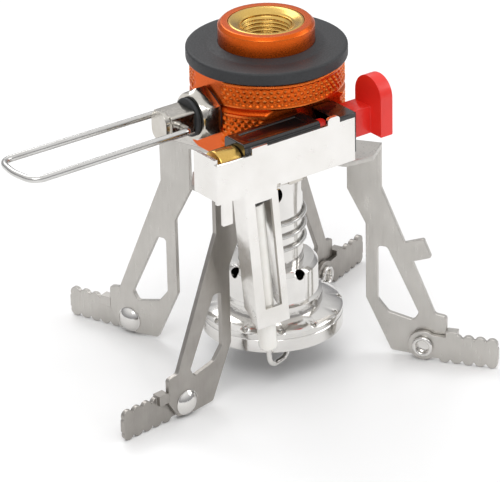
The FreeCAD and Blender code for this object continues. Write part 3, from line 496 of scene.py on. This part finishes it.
class STOVE_OT_handle(bpy.types.Operator):
    """Folding wire handle"""
    bl_idname = "stove.handle"
    bl_label = "Wire handle"

    def execute(self, context):
        low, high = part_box("wire_handle")
        wire, bow = 0.75, 1.0
        half, end_half, pin = 6.0, 6.3, 1.8
        pin_bend, corner_bend, bow_bend = 1.3, 3.4, 12.0
        pivot_x = high.x / MM - wire
        end_x = low.x / MM + wire + bow
        z = VALVE_Z / MM
        corners = [(pivot_x, -pin, z), (pivot_x, -half, z), (end_x, -end_half, z), (end_x - bow, 0, z),
                   (end_x, end_half, z), (pivot_x, half, z), (pivot_x, pin, z)]
        path = rounded_line(corners, [pin_bend, corner_bend, bow_bend, corner_bend, pin_bend], 12)
        points, faces = bar(path, wire, 24)
        new_piece("bent_wire", points, faces, "drawn_wire", "handle", "wire_handle", 40)
        return {"FINISHED"}


class STOVE_OT_igniter(bpy.types.Operator):
    """Igniter bracket, housing, end frame, ferrule and button"""
    bl_idname = "stove.igniter"
    bl_label = "Igniter"

    def execute(self, context):
        eased("igniter_bracket", "plated_sheet", 0.12)
        eased("igniter_housing", "black_abs", 0.22)
        eased("end_frame", "black_abs", 0.2)
        eased("ferrule", "turned_brass", 0.1)
        eased("push_button", "red_abs", 0.3, segments=3)
        repaint("piezo_crystal", "piezo_body")
        repaint("hammer", "polished_stainless")
        repaint("return_spring", "drawn_wire")
        return {"FINISHED"}


class STOVE_OT_electrode(bpy.types.Operator):
    """Ceramic tube, its holder, the spark wire and its lead"""
    bl_idname = "stove.electrode"
    bl_label = "Electrode"

    def execute(self, context):
        eased("ceramic_tube", "glazed_alumina", 0.1)
        eased("ceramic_holder", "black_abs", 0.3)
        eased("electrode_wire", "polished_stainless", 0.05)
        eased("ignition_lead", "moulded_rubber", 0.05)
        return {"FINISHED"}


class STOVE_OT_burner(bpy.types.Operator):
    """Mixing tube with its wire coil, cup, flange and face"""
    bl_idname = "stove.burner"
    bl_label = "Burner"

    def execute(self, context):
        eased("mixing_tube", "polished_stainless", 0.06)
        eased("burner_cup", "polished_stainless", 0.12)
        eased("burner_flange", "polished_stainless", 0.1)
        eased("hub_nut", "nickel_plate", 0.15)
        for node in ("spacer_washer", "wave_washer"):
            eased(node, "polished_stainless", 0.1)
        eased("burner_face", "steel_mesh", 0.06)
        repaint("burner_gauze", "steel_mesh")
        self.wire_coil()
        return {"FINISHED"}

    def wire_coil(self):
        """Helix of wire round the mixing tube, as high as the CAD coil: one turn for each pitch."""
        low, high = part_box("tube_coil")
        wire, pitch = 0.45, 3.1
        radius = high.x / MM - wire
        foot = low.z / MM + wire
        rise = high.z / MM - wire - foot
        t = np.linspace(0, 1, 160)
        a = TURN * t * rise / pitch
        path = np.stack([radius * np.cos(a), radius * np.sin(a), foot + rise * t], -1)
        points, faces = bar(path, wire, 14)
        new_piece("wire_coil", points, faces, "drawn_wire", "stove_body", "tube_coil", 40)


class STOVE_OT_supports(bpy.types.Operator):
    """Two swivelling brackets, four serrated blades and their rivets"""
    bl_idname = "stove.supports"
    bl_label = "Pot supports"

    def execute(self, context):
        eased("support_bracket_a", "brushed_stainless", 0.13)
        eased("support_bracket_b", "shaded_stainless", 0.13)
        for side in ("left", "right", "front", "back"):
            # the front and back blades take the darker copy of the sheet, whose colour is painted shade
            sheet = "shaded_stainless" if side in ("front", "back") else "brushed_stainless"
            eased("blade_" + side, sheet, 0.16)
            self.rivet(side)
        return {"FINISHED"}

    def rivet(self, side):
        """Dome, shank and rolled-over end, spun round the pivot's axis: the dome is a shallow cap, the far end
        a ring whose rim is a half round."""
        joint = next(j for j in frame["joints"] if j["name"] == "blade_" + side + "_fold")
        axis = np.asarray(joint["axis"], float)
        axis /= np.linalg.norm(axis)
        pivot = np.asarray(joint["pos_m"], float) / MM
        cap, rise, face = 2.95, 1.5, 8.01           # dome's radius and height, and the level it sits on
        shank, tail = 1.6, 5.6                      # shank's radius, and the level of its far side
        roll_middle, roll_r, roll_depth = 1.95, 0.45, 0.38
        centre = 0.02                               # a pinhole where the outline would touch its own axis
        sphere = (cap ** 2 + rise ** 2) / (2 * rise)
        r = np.concatenate([[centre], np.linspace(0.25, cap - 0.12, 14)])
        dome = np.stack([r, face + rise - sphere + np.sqrt(sphere ** 2 - r ** 2)], -1)
        skirt = np.asarray([(cap - 0.02, face + 0.12), (cap, face + 0.04), (cap - 0.05, face), (shank, face)])
        bend = np.linspace(0, math.pi, 9)
        roll = np.stack([roll_middle + roll_r * np.cos(bend), tail - 0.42 - roll_depth * np.sin(bend)], -1)
        end = np.concatenate([[(shank, tail), (2.35, tail), (2.4, tail - 0.3)], roll,
                              [(1.45, tail - 0.3), (1.35, tail + 0.5), (centre, tail + 0.55)]])
        outline = np.concatenate([dome, skirt, end])
        points, faces = spun(outline, 48)
        upright = np.array((0, 0, 1.0))
        across = np.cross(axis, upright)
        turned = points[..., :1] * across + points[..., 1:2] * upright + points[..., 2:] * axis
        node = "rivet_" + side
        new_piece("round_" + node, turned + pivot, faces, "polished_stainless", body_of(node), node, 45)


class STOVE_OT_stage(bpy.types.Operator):
    """Pale floor, soft studio light and the camera"""
    bl_idname = "stove.stage"
    bl_label = "Stage"

    AIM = Vector((-3.659, 2.659, -51.5)) * MM
    # name, share of the key light's power, place and width in metres
    LIGHTS = (("key", 1.0, (-0.28, -0.30, 0.42), 0.34), ("fill", 0.55, (0.42, -0.22, 0.22), 0.30),
              ("back", 0.8, (0.10, 0.45, 0.40), 0.35))
    LIGHT_HEIGHT_SHARE = 0.7
    # the room's grey from below, round the horizon and from above, each at its place between foot and top
    ROOM = ((0.0, (0.30, 0.30, 0.31, 1)), (0.22, (0.42, 0.42, 0.43, 1)), (0.75, (1.0, 1.0, 1.0, 1)))

    def execute(self, context):
        self.floor(context.scene)
        self.room(context.scene)
        self.lights(context.scene)
        self.camera(context.scene)
        context.scene.view_settings.view_transform = "Standard"
        return {"FINISHED"}

    def floor(self, scene):
        """White table top just under the lowest point."""
        half, gap = 4.0, 0.0001
        z = CAD_BOX[0][2] - gap
        mesh = bpy.data.meshes.new("floor")
        corners = [(-half, -half, z), (half, -half, z), (half, half, z), (-half, half, z)]
        mesh.from_pydata(corners, [], [(0, 1, 2, 3)])
        floor = bpy.data.objects.new("floor", mesh)
        scene.collection.objects.link(floor)
        mesh.materials.append(finish("pale_floor", linear("#F7F7F7"), 0.0, 0.5, second=linear("#F3F3F3"),
                                     patch_mm=60, rough_swing=0.02))

    def room(self, scene):
        """Surroundings that darken towards the floor, which the bright metal mirrors."""
        world = bpy.data.worlds.new("studio")
        scene.world = world
        world.use_nodes = True
        tree = world.node_tree
        tree.nodes.clear()
        way = add(tree, "ShaderNodeTexCoord")
        part = add(tree, "ShaderNodeSeparateXYZ", {"Vector": (way, "Generated")})
        ramp = add(tree, "ShaderNodeValToRGB", {"Fac": (part, "Z")})
        below, horizon, above = self.ROOM
        stops = ramp.color_ramp.elements
        stops[0].position, stops[0].color = below
        stops[1].position, stops[1].color = above
        stops.new(horizon[0]).color = horizon[1]
        light = add(tree, "ShaderNodeBackground", {"Color": (ramp, "Color"), "Strength": 1.0})
        add(tree, "ShaderNodeOutputWorld", {"Surface": (light, "Background")})

    def lights(self, scene):
        """Three soft boxes that look at the stove."""
        for name, share, place, width in self.LIGHTS:
            lamp = bpy.data.lights.new(name, "AREA")
            lamp.shape = "RECTANGLE"
            lamp.size = width
            lamp.size_y = width * self.LIGHT_HEIGHT_SHARE
            lamp.energy = share * scene.stove.key_light
            lamp_object = bpy.data.objects.new(name, lamp)
            lamp_object.location = Vector(place)
            lamp_object.rotation_euler = (self.AIM - Vector(place)).to_track_quat("-Z", "Y").to_euler()
            scene.collection.objects.link(lamp_object)

    def camera(self, scene):
        """Long lens that looks down on the stove from the handle's side, with a slight roll."""
        azimuth, elevation, roll = math.radians(36), math.radians(26.0), math.radians(1.34)
        distance = 773.8 * MM
        ahead = Vector((math.sin(azimuth) * math.cos(elevation), math.cos(azimuth) * math.cos(elevation),
                        -math.sin(elevation)))
        right = Vector((math.cos(azimuth), -math.sin(azimuth), 0))
        up = right.cross(ahead)
        right_rolled = right * math.cos(roll) - up * math.sin(roll)
        up_rolled = up * math.cos(roll) + right * math.sin(roll)
        turn = Matrix((right_rolled, up_rolled, -ahead)).transposed().to_4x4()
        data = bpy.data.cameras.new("camera")
        data.lens = 252.8
        data.sensor_width = 36
        data.clip_start = 0.01
        camera = bpy.data.objects.new("camera", data)
        camera.matrix_world = Matrix.Translation(self.AIM - ahead * distance) @ turn
        scene.collection.objects.link(camera)
        scene.camera = camera


class STOVE_PT_panel(bpy.types.Panel):
    """Sizes, colours and the steps that build the stove"""
    bl_label = "Canister stove"
    bl_space_type = "VIEW_3D"
    bl_region_type = "UI"
    bl_category = "Stove"

    def draw(self, context):
        for key in StoveSettings.__annotations__:
            self.layout.prop(context.scene.stove, key)
        for operator in OPERATORS:
            self.layout.operator(operator.bl_idname)


OPERATORS = (STOVE_OT_body, STOVE_OT_valve, STOVE_OT_handle, STOVE_OT_igniter, STOVE_OT_electrode,
             STOVE_OT_burner, STOVE_OT_supports, STOVE_OT_stage)
CLASSES = (StoveSettings, *OPERATORS, STOVE_PT_panel)


def register():
    for cls in CLASSES:
        bpy.utils.register_class(cls)
    bpy.types.Scene.stove = PointerProperty(type=StoveSettings)


def unregister():
    del bpy.types.Scene.stove
    for cls in reversed(CLASSES):
        bpy.utils.unregister_class(cls)


def main():
    register()
    make_finishes(bpy.context.scene.stove)
    for operator in OPERATORS:
        group, step = operator.bl_idname.split(".")
        getattr(getattr(bpy.ops, group), step)()


if __name__ == "__main__":
    main()
